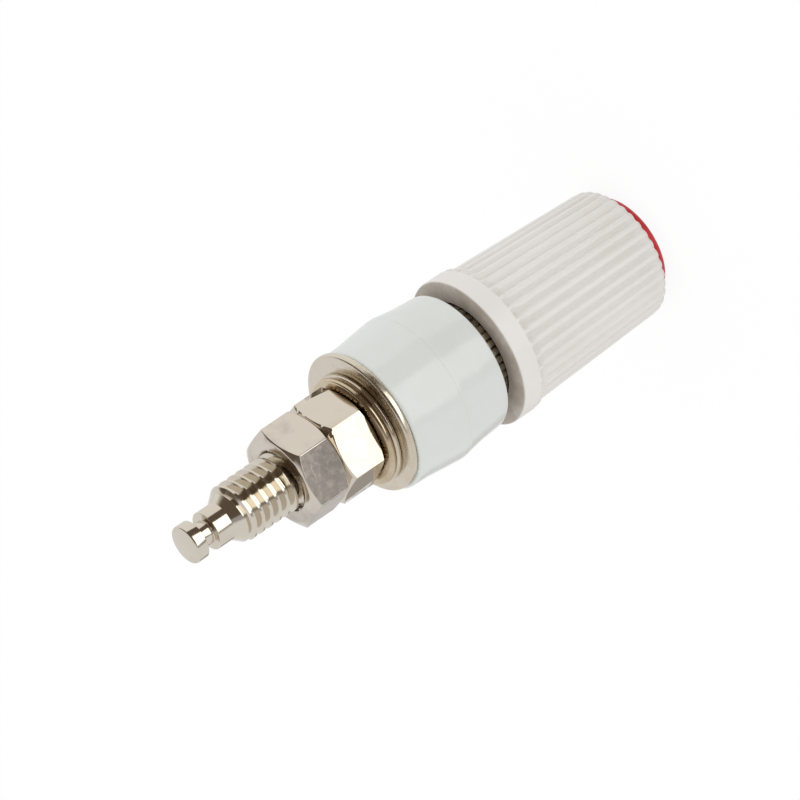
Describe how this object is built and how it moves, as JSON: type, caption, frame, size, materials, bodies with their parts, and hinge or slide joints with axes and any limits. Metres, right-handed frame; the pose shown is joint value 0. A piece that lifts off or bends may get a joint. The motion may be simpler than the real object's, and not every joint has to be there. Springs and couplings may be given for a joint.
{
  "type": "binding post",
  "caption": "Panel binding post: ribbed clamping knob over a plug socket and wire hole, two-part insulator, and a nutted tail with a solder end.",
  "frame": {"origin": "centre of the cap's end face at the knob end, which the post stands on", "axes": "+Z along the axis from the knob to the tip of the tail; the wire hole runs along Y"},
  "size_m": [0.0152, 0.0152, 0.0555],
  "materials": {
    "plated_stud": "turned brass with bright nickel plate",
    "plated_nut": "brass with nickel plate, scuffed in the barrel",
    "plated_washer": "stamped brass with bright nickel plate",
    "grey_insulator": "glossy light grey moulding",
    "white_knob": "satin off-white moulding",
    "red_cap": "glossy red moulding"
  },
  "bodies": {
    "post": {"stud": "plated_stud", "front_insulator": "grey_insulator"},
    "rear_stack": {"rear_insulator": "grey_insulator", "dress_washer": "plated_washer", "flat_washer": "plated_washer", "lock_washer": "plated_washer"},
    "clamp_nut": {"clamp_nut": "plated_nut"},
    "terminal_nut": {"terminal_nut": "plated_nut"},
    "knob_bush": {"knob_bush": "plated_stud"},
    "knob": {"knob": "white_knob", "marker_cap": "red_cap"}
  },
  "joints": [
    {"name": "panel_gap", "type": "slide", "parent": "post", "child": "rear_stack", "axis": [0, 0, 1], "range_m": [0, 0.004]},
    {"name": "clamp_nut_turn", "type": "hinge", "parent": "rear_stack", "child": "clamp_nut", "pos_m": [0, 0, 0.0375], "axis": [0, 0, 1], "range_deg": [0, 1440]},
    {"name": "terminal_nut_back_off", "type": "slide", "parent": "clamp_nut", "child": "terminal_nut", "axis": [0, 0, 1], "range_m": [0, 0.0016]},
    {"name": "knob_travel", "type": "slide", "parent": "post", "child": "knob_bush", "axis": [0, 0, -1], "range_m": [0, 0.005]},
    {"name": "knob_turn", "type": "hinge", "parent": "knob_bush", "child": "knob", "pos_m": [0, 0, 0.01], "axis": [0, 0, -1], "range_deg": [0, 1800]}
  ],
  "couplings": [
    {"joint": "clamp_nut_turn", "follows": "panel_gap", "rad_per_m": 6283.2},
    {"joint": "knob_turn", "follows": "knob_travel", "rad_per_m": 6283.2}
  ]
}
